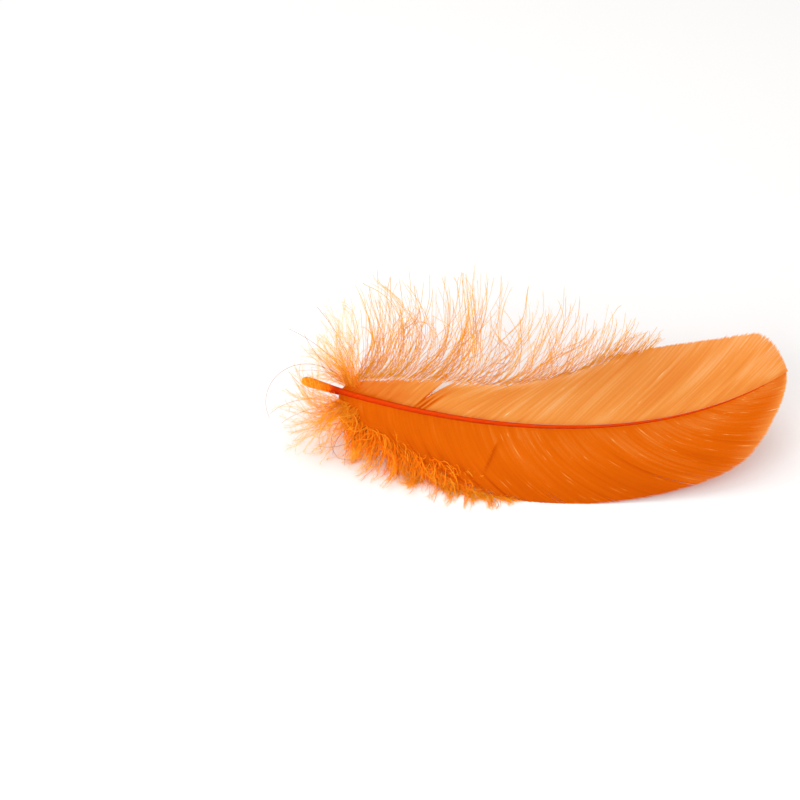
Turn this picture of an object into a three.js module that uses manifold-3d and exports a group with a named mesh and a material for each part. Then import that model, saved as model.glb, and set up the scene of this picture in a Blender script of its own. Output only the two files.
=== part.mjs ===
// A dyed goose feather lying on a table with its upper side up, in millimetres with +Z up.
// +X runs from the quill's end to the feather's tip. The narrow vane's edge rests on the table
// on the -Y side. The broad vane leans up and away on the +Y side, propped on its own down.
//
// The feather is three grown pieces: the shaft (quill and rachis), the broad vane and the narrow
// vane. Each vane carries its own downy locks, fused to the web that they grow from.
import * as THREE from "three";
import { mergeVertices } from "three/addons/utils/BufferGeometryUtils.js";
import Module from "manifold-3d";

const wasm = await Module();
wasm.setup();

// Driving dimensions

// The shaft's centre line, a cubic curve from the quill's end to the feather's tip.
const SHAFT_LINE = new THREE.CubicBezierCurve3(
  new THREE.Vector3(-71, 23, 12.5),
  new THREE.Vector3(-29.5, -3.5, 15),
  new THREE.Vector3(28, -10, 7),
  new THREE.Vector3(71.5, 13, 22),
);
const SHAFT_LENGTH = SHAFT_LINE.getLength();

// The shaft's radius at distances from the quill's end: round end, barrel, neck, then a long taper.
const SHAFT_PROFILE = [
  { at: 0, radius: 0 },
  { at: 0.3, radius: 0.85 },
  { at: 1.1, radius: 1.35 },
  { at: 3, radius: 1.55 },
  { at: 8, radius: 1.35 },
  { at: 13, radius: 1.2 },
  { at: 40, radius: 0.95 },
  { at: 75, radius: 0.65 },
  { at: 110, radius: 0.4 },
  { at: 135, radius: 0.22 },
  { at: SHAFT_LENGTH, radius: 0 },
];
const SHAFT_SIDES = 8;
const SHAFT_STEP = 5;

// The feather leans towards -Y. Each vane droops by its own rate times its reach squared.
const LEAN = THREE.MathUtils.degToRad(20);
const WEB_THICKNESS = 0.5;
const WEB_GAP = 0.3;
const WEB_ROWS = 40;
const WEB_COLUMNS = 5;

// A vane is drawn by a few of its barbs, from the quill to the tip. A barb leaves the shaft at root
// and ends at tip, both measured along the shaft, with reach its distance out from the shaft.
// A barb first runs outwards and then turns to the feather's tip: its bend is at the shares
// bendOut of its reach and bendOn of its run along the shaft.
const BROAD_VANE = {
  side: 1,
  droop: 0.0085,
  bendOut: 0.52,
  bendOn: 0.38,
  barbs: [
    { root: 14, tip: 14.5, reach: 4.7 },
    { root: 25, tip: 29, reach: 10.1 },
    { root: 37, tip: 45, reach: 13.5 },
    { root: 48, tip: 64.5, reach: 15.9 },
    { root: 63, tip: 86, reach: 23 },
    { root: 77, tip: 109, reach: 30 },
    { root: 92, tip: 130, reach: 26.9 },
    { root: 112, tip: 151.5, reach: 17.7 },
    { root: 122, tip: 154.5, reach: 12 },
    { root: 135, tip: 153, reach: 5 },
    { root: 149, tip: 150, reach: 0.7 },
  ],
};
const NARROW_VANE = {
  side: -1,
  droop: 0.011,
  bendOut: 0.62,
  bendOn: 0.25,
  barbs: [
    { root: 14, tip: 16, reach: 4.7 },
    { root: 30, tip: 42, reach: 14.7 },
    { root: 45, tip: 61.5, reach: 21 },
    { root: 63, tip: 82.5, reach: 22.5 },
    { root: 84, tip: 109.5, reach: 21.1 },
    { root: 103, tip: 127.3, reach: 18 },
    { root: 121, tip: 141, reach: 9.3 },
    { root: 136, tip: 147.6, reach: 3.5 },
    { root: 149, tip: 150, reach: 0.7 },
  ],
};

// The broad vane is split open near the quill: a wedge between two of its barbs, given as shares of
// the vane's barbs, from a closed end part of the way out to past the open edge.
const SPLIT = { from: 0.196, to: 0.21, closedAt: 0.3, openAt: 1.1 };

// Families of downy locks. A lock grows from the web at a share of the vane's barbs (along) and of
// that barb (out), and at a lift off the web's middle. It leaves the way that its barb runs, or the
// way that leave gives, and turns to an end heading, in degrees seen from above, and an end climb.
// Each list holds values at even steps from the family's first lock to its last.
const BROAD_LOCKS = [
  // the fringe along the web's edge, standing up and away
  {
    count: 22,
    along: [0.02, 0.53],
    out: 1,
    lift: 0,
    length: [41, 47, 48, 42, 34, 22, 10],
    heading: [128, 112, 100, 88, 74, 60, 46],
    climb: [54, 59, 61, 58, 49, 35, 16],
  },
  // the tuft that fans out round the top of the quill
  {
    count: 7,
    along: [0, 0.02],
    out: 0.9,
    lift: 0,
    leave: { heading: 105, climb: 25 },
    length: [20, 22, 27, 35],
    heading: [206, 174, 140, 98],
    climb: [24, 36, 46, 50],
  },
  // the underdown, which props the broad vane up off the table
  {
    count: 9,
    along: [0.04, 0.5],
    out: 0.62,
    lift: -0.1,
    leave: { heading: 80, climb: -25 },
    length: [38, 39, 40, 41],
    heading: [118, 104, 94, 76],
    climb: [-60, -60, -60, -60],
  },
];
const NARROW_LOCKS = [
  // the fringe along the web's edge, falling to the table
  {
    count: 15,
    along: [0.03, 0.27],
    out: 1,
    lift: 0,
    length: [19, 19, 17, 14, 10],
    heading: [-150, -126, -104, -80, -52],
    climb: [-40, -38, -34, -26, -18],
  },
  // the tuft that fans out round the top of the quill
  {
    count: 8,
    along: [0, 0.03],
    out: 0.9,
    lift: 0,
    leave: { heading: -120, climb: -20 },
    length: [21, 20, 19, 18],
    heading: [-214, -190, -164, -136],
    climb: [22, -4, -30, -46],
  },
];

// A lock is a slender wisp: its radius at shares of its length. Its line has a few straight steps,
// starts inside the web by a share of the barb (inset) and is never lower than its floor.
const LOCK_PROFILE = [
  { at: 0, radius: 0 },
  { at: 0.02, radius: 0.5 },
  { at: 0.18, radius: 0.75 },
  { at: 0.38, radius: 0.85 },
  { at: 0.6, radius: 0.7 },
  { at: 0.82, radius: 0.42 },
  { at: 1, radius: 0 },
];
const LOCK_SIDES = 5;
const LOCK_STEPS = 7;
const LOCK_INSET = 0.12;
const LOCK_FLOOR = 0.1;

// How far a lock may differ from its family, as a share of its length and in degrees.
const LOCK_VARIATION = { length: 0.14, heading: 10, climb: 9 };

// The space above the table, which trims what rests on it flat.
const TABLE_SPACE = { size: 400, height: 120 };

const QUILL_FINISH = new THREE.MeshStandardMaterial({ color: 0xe8590c, roughness: 0.35 });
const WEB_FINISH = new THREE.MeshStandardMaterial({ color: 0xf0780f, roughness: 0.7 });

// Places on the feather

// The shaft's radius at a distance from the quill's end, straight between the profile's knots.
function shaftRadius(at) {
  const next = SHAFT_PROFILE.findIndex((knot) => knot.at > at);
  if (next < 0) return 0;
  const [a, b] = [SHAFT_PROFILE[next - 1], SHAFT_PROFILE[next]];
  return THREE.MathUtils.mapLinear(at, a.at, b.at, a.radius, b.radius);
}

// The shaft's place and directions at a distance from the quill's end: forward along the shaft, out
// towards the broad vane, and up from the feather's upper side. Past the tip it runs straight on.
function shaftFrame(at) {
  const inside = THREE.MathUtils.clamp(at, 0, SHAFT_LENGTH);
  const forward = SHAFT_LINE.getTangentAt(inside / SHAFT_LENGTH);
  const place = SHAFT_LINE.getPointAt(inside / SHAFT_LENGTH).addScaledVector(forward, at - inside);
  const level = new THREE.Vector3(-forward.y, forward.x, 0).normalize();
  const out = level.applyAxisAngle(forward, LEAN);
  const up = new THREE.Vector3().crossVectors(forward, out);
  return { place, out, up };
}

// The point of a vane at a distance along the shaft, a reach out from it and a lift off its middle.
function vanePoint(vane, at, reach, lift = 0) {
  const { place, out, up } = shaftFrame(at);
  place.addScaledVector(out, vane.side * reach);
  return place.addScaledVector(up, lift - vane.droop * reach * reach);
}

// The curve of one barb of a vane, in distance along the shaft and reach, at a share of the barbs.
function barbCurve(vane, share) {
  const knots = vane.barbs.map((barb) => new THREE.Vector3(barb.root, barb.tip, barb.reach));
  const drawn = new THREE.CatmullRomCurve3(knots, false, "catmullrom").getPoint(share);
  const root = new THREE.Vector2(drawn.x, shaftRadius(drawn.x) + WEB_GAP);
  const tip = new THREE.Vector2(drawn.y, drawn.z);
  const bendOn = THREE.MathUtils.lerp(root.x, tip.x, vane.bendOn);
  const bendOut = THREE.MathUtils.lerp(root.y, tip.y, vane.bendOut);
  return new THREE.QuadraticBezierCurve(root, new THREE.Vector2(bendOn, bendOut), tip);
}

// The point of a vane's web at a share of its barbs and a share of that barb.
function webPoint(vane, share, out, lift = 0) {
  const onBarb = barbCurve(vane, share).getPoint(out);
  return vanePoint(vane, onBarb.x, onBarb.y, lift);
}

// The value at a share of a list of values that stand at even steps, on a smooth curve.
function valueAt(values, share) {
  const points = values.map((value, i) => new THREE.Vector2(i, value));
  return new THREE.SplineCurve(points).getPoint(share).y;
}

// A fixed number from -1 to 1 for each lock and purpose, so that no two locks are alike.
function variation(index, purpose) {
  const wave = Math.sin(index * 12.9898 + purpose * 78.233) * 43758.5453;
  return 2 * (wave - Math.floor(wave)) - 1;
}

// The direction of a heading seen from above and a climb, both in degrees.
function direction(heading, climb) {
  const turn = THREE.MathUtils.degToRad(heading);
  const rise = THREE.MathUtils.degToRad(climb);
  return new THREE.Vector3(
    Math.cos(rise) * Math.cos(turn),
    Math.cos(rise) * Math.sin(turn),
    Math.sin(rise),
  );
}

// The line of one lock of a family, which follows its barb at first and lies down on the table.
function lockLine(vane, family, index) {
  const share = index / (family.count - 1);
  const along = THREE.MathUtils.lerp(...family.along, share);
  const start = webPoint(vane, along, family.out - LOCK_INSET, family.lift);
  const onWeb = webPoint(vane, along, family.out, family.lift).sub(start).normalize();
  const leave = family.leave ?? {
    heading: THREE.MathUtils.radToDeg(Math.atan2(onWeb.y, onWeb.x)),
    climb: THREE.MathUtils.radToDeg(Math.asin(onWeb.z)),
  };
  const seed = index + family.count * vane.side;
  const vary = (purpose, amount) => amount * variation(seed, purpose);
  const heading = valueAt(family.heading, share) + vary(1, LOCK_VARIATION.heading);
  const climb = valueAt(family.climb, share) + vary(2, LOCK_VARIATION.climb);
  const length = valueAt(family.length, share) * (1 + vary(3, LOCK_VARIATION.length));
  const points = [start];
  for (let step = 0; step < LOCK_STEPS; step++) {
    const turned = (step + 0.5) / LOCK_STEPS;
    const ahead = direction(
      THREE.MathUtils.lerp(leave.heading, heading, turned),
      THREE.MathUtils.lerp(leave.climb, climb, turned),
    );
    const point = points.at(-1).clone().addScaledVector(ahead, length / LOCK_STEPS);
    point.z = Math.max(point.z, LOCK_FLOOR);
    points.push(point);
  }
  return new THREE.CatmullRomCurve3(points);
}

// Solids

// The closed surface of a geometry, as a solid that can be joined and cut.
function toSolid(geometry) {
  const bare = geometry.clone().deleteAttribute("normal").deleteAttribute("uv");
  const merged = mergeVertices(bare);
  const vertProperties = merged.getAttribute("position").array;
  const triVerts = new Uint32Array(merged.index.array);
  return new wasm.Manifold(new wasm.Mesh({ numProp: 3, vertProperties, triVerts }));
}

// The surface of a solid, as a geometry.
function toGeometry(solid) {
  const { vertProperties, triVerts } = solid.getMesh();
  const geometry = new THREE.BufferGeometry();
  geometry.setAttribute("position", new THREE.BufferAttribute(vertProperties, 3));
  geometry.setIndex(new THREE.BufferAttribute(triVerts, 1));
  geometry.computeVertexNormals();
  return geometry;
}

// Moves each vertex of a geometry to the place that the function gives for it.
function reshape(geometry, placeOf) {
  const positions = geometry.getAttribute("position");
  const vertex = new THREE.Vector3();
  for (let i = 0; i < positions.count; i++) {
    vertex.fromBufferAttribute(positions, i);
    positions.setXYZ(i, ...placeOf(vertex));
  }
  return geometry;
}

// The shaft, a turned profile bent along the shaft's line, grown all round by a clearance.
function shaftSolid(clearance = 0) {
  const count = Math.round(SHAFT_LENGTH / SHAFT_STEP);
  const even = Array.from({ length: count }, (_, i) => ((i + 1) / count) * SHAFT_LENGTH);
  const quillEnd = SHAFT_PROFILE.map((knot) => knot.at).filter((at) => at < SHAFT_STEP);
  const sides = [...quillEnd.slice(1), ...even.slice(0, -1)];
  const profile = [
    new THREE.Vector2(0, -clearance),
    ...sides.map((at) => new THREE.Vector2(shaftRadius(at) + clearance, at)),
    new THREE.Vector2(0, SHAFT_LENGTH + clearance),
  ];
  const turned = new THREE.LatheGeometry(profile, SHAFT_SIDES);
  const bent = reshape(turned, ({ x, y, z }) => {
    const { place, out, up } = shaftFrame(y);
    return place.addScaledVector(up, x).addScaledVector(out, z);
  });
  return toSolid(bent);
}

// A vane's web, a slab whose rows are mapped on to the vane's barbs.
function webSolid(vane) {
  const slab = new THREE.BoxGeometry(1, 1, WEB_THICKNESS, WEB_ROWS, WEB_COLUMNS, 1);
  return toSolid(reshape(slab, ({ x, y, z }) => webPoint(vane, x + 0.5, y + 0.5, vane.side * z)));
}

// The upright wedge that opens a split between two barbs of a vane.
function splitSolid(vane, { from, to, closedAt, openAt }) {
  const edge = (share) => {
    const root = webPoint(vane, share, 0);
    return root.lerp(webPoint(vane, share, 1), openAt);
  };
  const corners = [webPoint(vane, (from + to) / 2, closedAt), edge(to), edge(from)];
  const outline = new THREE.Shape(corners.map(({ x, y }) => new THREE.Vector2(x, y)));
  const options = { depth: TABLE_SPACE.height, bevelEnabled: false };
  return toSolid(new THREE.ExtrudeGeometry(outline, options));
}

// One downy lock, a slender turned profile bent along the lock's line.
function lockSolid(line) {
  const profile = LOCK_PROFILE.map((knot) => new THREE.Vector2(knot.radius, knot.at));
  const turned = new THREE.LatheGeometry(profile, LOCK_SIDES);
  const bent = reshape(turned, ({ x, y, z }) => {
    const forward = line.getTangentAt(y);
    const across = new THREE.Vector3(forward.y, -forward.x, 0).normalize();
    const above = new THREE.Vector3().crossVectors(forward, across);
    return line.getPointAt(y).addScaledVector(above, x).addScaledVector(across, z);
  });
  return toSolid(bent);
}

// A whole vane: its web and its locks, clear of the shaft and trimmed flat where it rests.
function vaneSolid(vane, families, web) {
  const lines = families.flatMap((family) => {
    return Array.from({ length: family.count }, (_, index) => lockLine(vane, family, index));
  });
  const grown = lines.reduce((solid, line) => solid.add(lockSolid(line)), web);
  const { size, height } = TABLE_SPACE;
  const space = toSolid(new THREE.BoxGeometry(size, size, height).translate(0, 0, height / 2));
  return grown.subtract(shaftSolid(WEB_GAP)).intersect(space);
}

// The feather

const feather = new THREE.Group();

function addPiece(name, solid, finish) {
  const mesh = new THREE.Mesh(toGeometry(solid), finish);
  mesh.name = name;
  feather.add(mesh);
}

const broadWeb = webSolid(BROAD_VANE).subtract(splitSolid(BROAD_VANE, SPLIT));
addPiece("shaft", shaftSolid(), QUILL_FINISH);
addPiece("broad_vane", vaneSolid(BROAD_VANE, BROAD_LOCKS, broadWeb), WEB_FINISH);
addPiece("narrow_vane", vaneSolid(NARROW_VANE, NARROW_LOCKS, webSolid(NARROW_VANE)), WEB_FINISH);

// The origin is on the table, below the middle of the feather's box.
const middle = new THREE.Box3().setFromObject(feather).getCenter(new THREE.Vector3());
feather.position.set(-middle.x, -middle.y, 0);

export default feather;
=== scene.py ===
"""Dresses a dyed goose feather: a satin quill, two vanes of hooked barbs, and loose down.

Lengths in the classes are millimetres along and across the feather, in the feather's own frame, and
become metres where a mesh is made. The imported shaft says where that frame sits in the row's frame.
"""

import logging
import math
from dataclasses import dataclass, field
from enum import Enum
from typing import Any

import bpy
import numpy as np
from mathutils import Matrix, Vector


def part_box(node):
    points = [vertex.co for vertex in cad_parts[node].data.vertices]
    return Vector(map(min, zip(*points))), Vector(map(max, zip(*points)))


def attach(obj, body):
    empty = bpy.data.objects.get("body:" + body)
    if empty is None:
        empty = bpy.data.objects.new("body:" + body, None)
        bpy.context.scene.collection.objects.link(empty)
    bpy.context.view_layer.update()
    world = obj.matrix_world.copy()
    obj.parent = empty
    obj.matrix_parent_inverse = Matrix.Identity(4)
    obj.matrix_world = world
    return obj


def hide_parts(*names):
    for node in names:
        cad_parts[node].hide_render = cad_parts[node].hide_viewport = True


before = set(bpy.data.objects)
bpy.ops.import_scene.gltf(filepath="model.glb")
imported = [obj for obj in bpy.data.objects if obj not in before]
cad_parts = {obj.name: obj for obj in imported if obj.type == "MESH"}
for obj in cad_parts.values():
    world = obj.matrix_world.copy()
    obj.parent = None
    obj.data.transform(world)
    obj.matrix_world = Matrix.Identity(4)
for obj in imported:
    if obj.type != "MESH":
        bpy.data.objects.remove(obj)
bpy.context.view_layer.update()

LOG = logging.getLogger("feather")
MM = 0.001
KERATIN_IOR = 1.54
BODY = "root"
UV_NAME = "OFBake"

Array = np.ndarray


class Side(Enum):
    """The side of the shaft that a vane grows on."""

    BROAD = 1
    NARROW = -1


class Growth(Enum):
    """What the strands of a family of locks are."""

    BARBS = "loose barbs"
    PLUMES = "plumes of down"


def linear(code: str) -> tuple[float, float, float, float]:
    """Turns an sRGB hex colour into linear RGBA.

    Args:
        code: Six hex digits, with or without a leading hash.

    Returns:
        The linear red, green and blue, and an alpha of 1.
    """
    digits = code.lstrip("#")
    channels = [int(digits[i : i + 2], 16) / 255 for i in (0, 2, 4)]
    red, green, blue = [c / 12.92 if c <= 0.04045 else ((c + 0.055) / 1.055) ** 2.4 for c in channels]
    return red, green, blue, 1.0


def add_node(tree: bpy.types.NodeTree, kind: str, inputs: dict[Any, Any], **settings: Any) -> bpy.types.Node:
    """Adds a node with its settings, its input values and its links.

    Args:
        tree: The node tree to add to.
        kind: The node's type name.
        inputs: Input name or number to a value, or to the output socket that feeds it.
        **settings: The node's own properties.

    Returns:
        The new node.
    """
    node = tree.nodes.new(kind)
    for name, value in settings.items():
        setattr(node, name, value)
    for name, value in inputs.items():
        if isinstance(value, bpy.types.NodeSocket):
            tree.links.new(value, node.inputs[name])
        else:
            node.inputs[name].default_value = value
    return node


def new_material(name: str) -> tuple[bpy.types.Material, bpy.types.NodeTree]:
    """Makes a material with an empty node tree.

    Args:
        name: The material's name.

    Returns:
        The material and its node tree.
    """
    made = bpy.data.materials.new(name)
    made.use_nodes = True
    made.node_tree.nodes.clear()
    return made, made.node_tree


def dye_colour(
    tree: bpy.types.NodeTree, grain: bpy.types.NodeSocket, strength: float,
    dye: tuple[tuple[float, str], ...],
) -> bpy.types.NodeSocket:
    """Colours fibres by their tone and the grain of their surface.

    Args:
        tree: The node tree to add to.
        grain: The grain, about 0.5 in the middle.
        strength: How far the grain changes the tone.
        dye: Tones from 0 to 1, and the dye's colour at each.

    Returns:
        The colour.
    """
    tone = add_node(tree, "ShaderNodeAttribute", {}, attribute_name="tone")
    centred = add_node(tree, "ShaderNodeMath", {0: grain, 1: 0.5}, operation="SUBTRACT")
    shade = add_node(
        tree, "ShaderNodeMath", {0: centred.outputs[0], 1: strength, 2: tone.outputs["Fac"]},
        operation="MULTIPLY_ADD",
    )
    ramp = add_node(tree, "ShaderNodeValToRGB", {"Fac": shade.outputs[0]})
    stops = ramp.color_ramp.elements
    (_, darkest), *between, (_, lightest) = dye
    stops[0].color, stops[1].color = linear(darkest), linear(lightest)
    for position, code in between:
        stops.new(position).color = linear(code)
    return ramp.outputs["Color"]


def smooth_rows(rows: Array, share: Array, clamp_ends: bool) -> Array:
    """Reads rows of numbers at even steps, on a smooth curve through them.

    Args:
        rows: One row for each step, of one or more columns.
        share: Where to read, from 0 at the first row to 1 at the last.
        clamp_ends: Whether the curve levels off at its ends or runs straight on.

    Returns:
        One row of values for each share.
    """
    rows = np.asarray(rows, float).reshape(len(rows), -1)
    before, after = (rows[0], rows[-1]) if clamp_ends else (2 * rows[0] - rows[1], 2 * rows[-1] - rows[-2])
    padded = np.vstack([before, rows, after])
    place = np.clip(np.asarray(share, float), 0, 1) * (len(rows) - 1)
    index = np.minimum(place.astype(int), len(rows) - 2)
    t = (place - index)[..., None]
    p0, p1, p2, p3 = (padded[index + k] for k in range(4))
    m1, m2 = (p2 - p0) / 2, (p3 - p1) / 2
    blend = (2 * t**3 - 3 * t**2 + 1) * p1 + (t**3 - 2 * t**2 + t) * m1
    return blend + (-2 * t**3 + 3 * t**2) * p2 + (t**3 - t**2) * m2


def unit(vectors: Array) -> Array:
    """Scales vectors to a length of 1."""
    return vectors / np.maximum(np.linalg.norm(vectors, axis=-1, keepdims=True), 1e-12)


def way(heading: Array, climb: Array) -> Array:
    """Gives the direction of a heading seen from above and a climb, both in degrees."""
    turn, rise = np.radians(heading), np.radians(climb)
    return np.stack([np.cos(rise) * np.cos(turn), np.cos(rise) * np.sin(turn), np.sin(rise)], -1)


def keep_above(points: Array, floor: Array | float) -> Array:
    """Raises points that are lower than a least height over the table."""
    points[..., 2] = np.maximum(points[..., 2], floor)
    return points


def cloud(seed: int, shape: tuple[int, int], size: tuple[int, int]) -> Array:
    """Gives a sheet of smooth random numbers, about -1 to 1.

    Args:
        seed: The seed of the random numbers.
        shape: The number of rows and columns.
        size: How many rows and columns the numbers take to change.

    Returns:
        The sheet of numbers.
    """
    knots = [count // step + 3 for count, step in zip(shape, size)]
    sheet = np.random.default_rng(seed).normal(size=knots)
    tall = smooth_rows(sheet, np.linspace(0, 1, shape[0]), True)
    return 0.6 * smooth_rows(tall.T, np.linspace(0, 1, shape[1]), True).T


@dataclass
class Fibres:
    """Closed tapering fibres, each a row of points with a section round each point.

    Attributes:
        points: Fibre, point and x, y, z, in millimetres.
        half_width: Half the section's width at each point.
        half_depth: Half the section's depth at each point.
        tone: How light the fibre is at each point, or at each corner of each point's section.
        row: Where each fibre's colours lie on the map, from 0 to 1.
        row_height: The height of a fibre's row on the map.
        corners: How many corners a section has.
        across: The widest way of each section, or None where a section is as deep as it is wide.
        crisp: Whether the section's corners stay sharp along the fibre.
        map_margins: The margins of the map, along the fibres and across them.
        map_turn: How far sections are turned on the map, in corners, so that every face has a width there.
    """

    points: Array
    half_width: Array
    half_depth: Array
    tone: Array
    row: Array
    row_height: float
    corners: int
    across: Array | None = None
    crisp: bool = False
    map_margins: tuple[float, float] = (0.005, 0.01)
    map_turn: float = 0.2

    def _carried(self, forward: Array) -> Array:
        """Carries a direction square to each fibre along it without twisting.

        Args:
            forward: The fibres' directions.

        Returns:
            One direction of length 1 for each point.
        """
        least = np.eye(3)[np.argmin(np.abs(forward[:, 0]), axis=1)]
        across = [unit(np.cross(forward[:, 0], least))]
        for step in range(1, forward.shape[1]):
            ahead = forward[:, step]
            across.append(unit(across[-1] - (across[-1] * ahead).sum(-1, keepdims=True) * ahead))
        return np.stack(across, 1)

    def _sections(self) -> Array:
        """Places the corners of every section but the two end points.

        Returns:
            Fibre, point, corner and x, y, z.
        """
        forward = unit(np.gradient(self.points, axis=1))
        across = self._carried(forward) if self.across is None else self.across
        up = unit(np.cross(forward, across))
        across = np.cross(up, forward)
        angle = 2 * np.pi * np.arange(self.corners) / self.corners
        wide = (self.half_width[..., None] * np.cos(angle))[..., None] * across[:, :, None]
        deep = (self.half_depth[..., None] * np.sin(angle))[..., None] * up[:, :, None]
        return (self.points[:, :, None] + wide + deep)[:, 1:-1]

    def mesh(self, name: str, shift: Array) -> bpy.types.Mesh:
        """Builds one mesh of all the fibres, with their tone and map.

        Args:
            name: The mesh's name.
            shift: What to add to the points, in millimetres, for the row's frame.

        Returns:
            The mesh, in metres.
        """
        count, length = self.points.shape[:2]
        rings, corners = length - 2, self.corners
        ends = self.points[:, [0, -1]]
        vertices = np.concatenate([self._sections().reshape(count, -1, 3), ends], 1)
        per_fibre = rings * corners + 2
        grid = np.arange(rings * corners).reshape(rings, corners)
        turned = np.roll(grid, -1, 1)
        quads = np.stack([grid[:-1], turned[:-1], turned[1:], grid[1:]], -1).reshape(-1)
        first = np.stack([turned[0], grid[0], np.full(corners, per_fibre - 2)], -1).reshape(-1)
        last = np.stack([grid[-1], turned[-1], np.full(corners, per_fibre - 1)], -1).reshape(-1)
        loops = np.concatenate([quads, first, last])
        sizes = np.concatenate([np.full(len(quads) // 4, 4), np.full(2 * corners, 3)])
        all_loops = (loops[None] + per_fibre * np.arange(count)[:, None]).reshape(-1)
        starts = np.concatenate([[0], np.cumsum(np.tile(sizes, count))[:-1]])

        mesh = bpy.data.meshes.new(name)
        mesh.vertices.add(count * per_fibre)
        mesh.loops.add(len(all_loops))
        mesh.polygons.add(len(starts))
        mesh.vertices.foreach_set("co", ((vertices + shift) * MM).astype(np.float32).ravel())
        mesh.loops.foreach_set("vertex_index", all_loops.astype(np.int32))
        mesh.polygons.foreach_set("loop_start", starts.astype(np.int32))
        mesh.update(calc_edges=True)
        mesh.shade_smooth()

        lane = np.concatenate([np.tile(np.arange(corners), rings), [-1, -1]])
        place = np.concatenate([np.repeat(np.linspace(0, 1, length)[1:-1], corners), [0.0, 1.0]])
        self._add_tone(mesh)
        self._add_map(mesh, all_loops, lane, place)
        if self.crisp:
            self._sharpen(mesh, np.tile(lane, count))
        return mesh

    def _add_tone(self, mesh: bpy.types.Mesh) -> None:
        """Stores each point's tone on its vertices.

        Args:
            mesh: The mesh to store it on.
        """
        tone = self.tone if self.tone.ndim == 3 else np.repeat(self.tone[..., None], self.corners, axis=2)
        inner = tone[:, 1:-1].reshape(len(tone), -1)
        values = np.concatenate([inner, tone[:, [0, -1], 0]], 1)
        layer = mesh.attributes.new("tone", "FLOAT", "POINT")
        layer.data.foreach_set("value", values.astype(np.float32).ravel())

    def _add_map(self, mesh: bpy.types.Mesh, loops: Array, lane: Array, place: Array) -> None:
        """Lays each fibre along its own row of the map.

        Args:
            mesh: The mesh to map.
            loops: The vertex of each face corner.
            lane: The section corner of each vertex of a fibre.
            place: How far along the fibre each of those vertices is.
        """
        ahead, aside = self.map_margins
        turn = 2 * np.pi * (lane + self.map_turn) / self.corners
        rise = np.where(lane < 0, 0, np.cos(turn)) * self.row_height / 2
        along = np.tile(ahead + (1 - 2 * ahead) * place, len(self.row))
        rows = (aside + (1 - 2 * aside) * self.row[:, None] + rise[None]).reshape(-1)
        layer = mesh.uv_layers.new(name=UV_NAME)
        layer.uv.foreach_set("vector", np.stack([along, rows], -1)[loops].astype(np.float32).ravel())

    def _sharpen(self, mesh: bpy.types.Mesh, lane: Array) -> None:
        """Keeps the edges that run along the fibres sharp.

        Args:
            mesh: The mesh to mark.
            lane: The section corner of each vertex, or -1 at the fibres' ends.
        """
        pairs = np.empty(len(mesh.edges) * 2, np.int32)
        mesh.edges.foreach_get("vertices", pairs)
        pairs = pairs.reshape(-1, 2)
        layer = mesh.attributes.new("sharp_edge", "BOOLEAN", "EDGE")
        ends = lane[pairs]
        layer.data.foreach_set("value", (ends[:, 0] == ends[:, 1]) | (ends.min(1) < 0))


@dataclass(frozen=True)
class DyedFibreFinish:
    """Acid-dyed feather keratin: grown as fine barbs, satin, and lit through where it is thin.

    Attributes:
        name: The material's name.
        deep: The dye where barbs shade each other.
        full: The dye on the web.
        light: The dye on barbs that catch the light.
        pale: The dye of painted glints on barbs and of painted light on thin ends.
        roughness: How much the barbs spread a reflection.
        gloss: How much of keratin's reflection the broken surface keeps.
        sheen: The soft bloom of barbules seen edge on.
        through: The share of light that passes through.
        grain_mm: The width of the barbules' grain.
        grain: How far the grain changes the tone.
        sheen_roughness: How far the bloom spreads.
    """

    name: str
    deep: str
    full: str
    light: str
    pale: str
    roughness: float
    gloss: float
    sheen: float
    through: float
    grain_mm: float
    grain: float
    sheen_roughness: float = 0.4

    def material(self) -> bpy.types.Material:
        """Makes the material from the fibres' tone and the barbules' grain.

        Returns:
            The material.
        """
        made, tree = new_material(self.name)
        # Barbules are about 0.03 mm apart, too fine to show, so their grain is drawn coarser.
        place = add_node(tree, "ShaderNodeTexCoord", {})
        grain = add_node(
            tree, "ShaderNodeTexNoise",
            {"Vector": place.outputs["Object"], "Scale": 1 / (self.grain_mm * MM), "Detail": 2.0},
        )
        dye = ((0.0, self.deep), (0.4, self.full), (0.72, self.light), (1.0, self.pale))
        colour = dye_colour(tree, grain.outputs["Fac"], self.grain, dye)
        surface = add_node(
            tree, "ShaderNodeBsdfPrincipled",
            {
                "Base Color": colour,
                "Roughness": self.roughness,
                "IOR": KERATIN_IOR,
                "Specular IOR Level": self.gloss,
                "Sheen Weight": self.sheen,
                "Sheen Roughness": self.sheen_roughness,
                "Sheen Tint": linear(self.pale),
            },
        )
        lit_through = add_node(tree, "ShaderNodeBsdfTranslucent", {"Color": colour})
        both = add_node(
            tree, "ShaderNodeMixShader",
            {0: self.through, 1: surface.outputs[0], 2: lit_through.outputs[0]},
        )
        add_node(tree, "ShaderNodeOutputMaterial", {"Surface": both.outputs[0]})
        return made


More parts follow.
